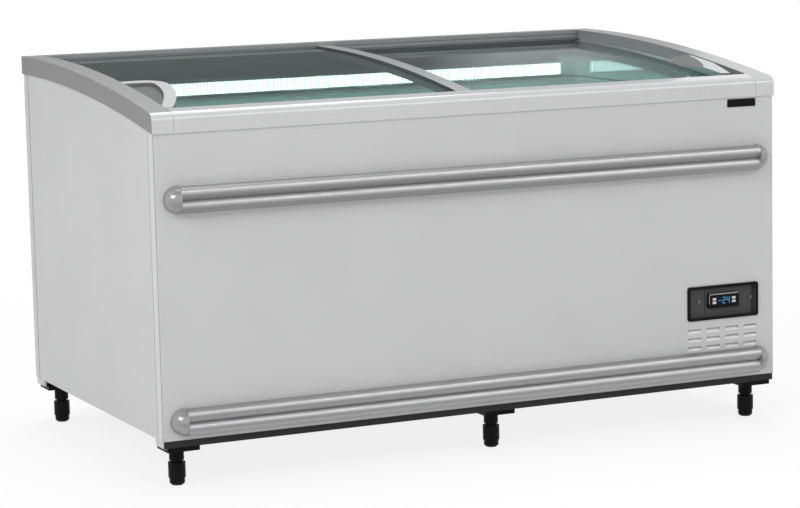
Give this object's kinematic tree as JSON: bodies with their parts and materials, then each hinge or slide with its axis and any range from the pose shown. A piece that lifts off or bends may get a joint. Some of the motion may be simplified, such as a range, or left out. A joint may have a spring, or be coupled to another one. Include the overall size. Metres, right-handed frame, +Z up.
{
  "type": "island chest freezer",
  "caption": "Island chest freezer with a curved top frame, sliding glass lids, an insulated tub with a light, bumper rails, a control panel and levelling feet.",
  "frame": {"origin": "on the floor under the middle of the overall box", "axes": "+X along the cabinet to the right of someone facing its front, +Y from the front to the back, +Z up"},
  "size_m": [1.506, 0.917, 0.866],
  "materials": {
    "panel_paint": "satin",
    "galvanised_sheet": "satin",
    "foam": "matte",
    "liner_sheet": "satin",
    "frame_grey": "matte",
    "rail_silver": "satin",
    "rail_dark": "matte",
    "collar_plastic": "matte",
    "lid_glass": "polished",
    "lid_aluminium": "satin",
    "runner_plastic": "matte",
    "grip_plastic": "satin",
    "brush": "matte",
    "light_housing": "satin",
    "light_lens": "satin",
    "bumper_aluminium": "brushed",
    "cap_plastic": "satin",
    "control_black": "matte",
    "screw_steel": "satin",
    "display": "polished",
    "button_grey": "satin",
    "plate_black": "polished",
    "base_steel": "matte",
    "foot_plastic": "satin",
    "coil_metal": "satin",
    "fan_plastic": "matte",
    "shroud_steel": "matte",
    "motor_black": "satin",
    "relay_plastic": "matte",
    "grommet_rubber": "matte"
  },
  "bodies": {
    "cabinet": {"front_panel": "panel_paint", "rear_panel": "panel_paint", "left_side_panel": "panel_paint", "right_side_panel": "panel_paint", "base_end_caps": "panel_paint", "bottom_panel": "galvanised_sheet", "insulation_foam": "foam", "tub_liner": "liner_sheet", "left_end_frame": "frame_grey", "right_end_frame": "frame_grey", "front_rail": "rail_silver", "rear_rail": "rail_dark", "front_track": "collar_plastic", "rear_track": "collar_plastic", "left_collar": "collar_plastic", "right_collar": "collar_plastic", "light_channel": "light_housing", "light_lens": "light_lens", "upper_bumper": "bumper_aluminium", "lower_bumper": "bumper_aluminium", "upper_bumper_caps": "cap_plastic", "lower_bumper_caps": "cap_plastic", "control_bezel": "control_black", "controller": "control_black", "control_screws": "screw_steel", "display_lens": "display", "blank_plate": "plate_black", "base_frame": "base_steel", "foot_sockets": "base_steel", "condenser_coil": "coil_metal", "fan_shroud": "shroud_steel", "motor_bracket": "shroud_steel", "rear_grille": "shroud_steel", "fan_motor": "motor_black", "compressor": "motor_black", "compressor_relay": "relay_plastic", "mains_gland": "relay_plastic", "compressor_grommets": "grommet_rubber"},
    "left_lid": {"left_lid_glass": "lid_glass", "left_lid_bar": "lid_aluminium", "left_lid_edge": "lid_aluminium", "left_lid_runners": "runner_plastic", "left_lid_grip": "grip_plastic"},
    "right_lid": {"right_lid_glass": "lid_glass", "right_lid_bar": "lid_aluminium", "right_lid_edge": "lid_aluminium", "right_lid_runners": "runner_plastic", "right_lid_grip": "grip_plastic", "lid_brush_seal": "brush"},
    "button_left_upper": {"button_left_upper": "button_grey"},
    "button_left_lower": {"button_left_lower": "button_grey"},
    "button_right_upper": {"button_right_upper": "button_grey"},
    "button_right_lower": {"button_right_lower": "button_grey"},
    "condenser_fan": {"condenser_fan": "fan_plastic"},
    "foot_front_left": {"foot_front_left": "foot_plastic"},
    "foot_front_middle": {"foot_front_middle": "foot_plastic"},
    "foot_front_right": {"foot_front_right": "foot_plastic"},
    "foot_rear_left": {"foot_rear_left": "foot_plastic"},
    "foot_rear_middle": {"foot_rear_middle": "foot_plastic"},
    "foot_rear_right": {"foot_rear_right": "foot_plastic"}
  },
  "joints": [
    {"name": "left_lid_slide", "type": "slide", "parent": "cabinet", "child": "left_lid", "axis": [1, 0, 0], "range_m": [0, 0.63]},
    {"name": "right_lid_slide", "type": "slide", "parent": "cabinet", "child": "right_lid", "axis": [1, 0, 0], "range_m": [-0.63, 0]},
    {"name": "button_left_upper_press", "type": "slide", "parent": "cabinet", "child": "button_left_upper", "axis": [0, 1, 0], "range_m": [0, 0.0008], "stiffness_N_per_m": 400},
    {"name": "button_left_lower_press", "type": "slide", "parent": "cabinet", "child": "button_left_lower", "axis": [0, 1, 0], "range_m": [0, 0.0008], "stiffness_N_per_m": 400},
    {"name": "button_right_upper_press", "type": "slide", "parent": "cabinet", "child": "button_right_upper", "axis": [0, 1, 0], "range_m": [0, 0.0008], "stiffness_N_per_m": 400},
    {"name": "button_right_lower_press", "type": "slide", "parent": "cabinet", "child": "button_right_lower", "axis": [0, 1, 0], "range_m": [0, 0.0008], "stiffness_N_per_m": 400},
    {"name": "fan_spin", "type": "hinge", "parent": "cabinet", "child": "condenser_fan", "pos_m": [0.612, -0.2685, 0.235], "axis": [0, 1, 0], "continuous": true},
    {"name": "foot_front_left_turn", "type": "hinge", "parent": "cabinet", "child": "foot_front_left", "pos_m": [-0.705, -0.3765, 0.04], "axis": [0, 0, 1], "continuous": true},
    {"name": "foot_front_middle_turn", "type": "hinge", "parent": "cabinet", "child": "foot_front_middle", "pos_m": [0.04, -0.3765, 0.04], "axis": [0, 0, 1], "continuous": true},
    {"name": "foot_front_right_turn", "type": "hinge", "parent": "cabinet", "child": "foot_front_right", "pos_m": [0.705, -0.3765, 0.04], "axis": [0, 0, 1], "continuous": true},
    {"name": "foot_rear_left_turn", "type": "hinge", "parent": "cabinet", "child": "foot_rear_left", "pos_m": [-0.705, 0.4055, 0.04], "axis": [0, 0, 1], "continuous": true},
    {"name": "foot_rear_middle_turn", "type": "hinge", "parent": "cabinet", "child": "foot_rear_middle", "pos_m": [0.04, 0.4055, 0.04], "axis": [0, 0, 1], "continuous": true},
    {"name": "foot_rear_right_turn", "type": "hinge", "parent": "cabinet", "child": "foot_rear_right", "pos_m": [0.705, 0.4055, 0.04], "axis": [0, 0, 1], "continuous": true}
  ]
}
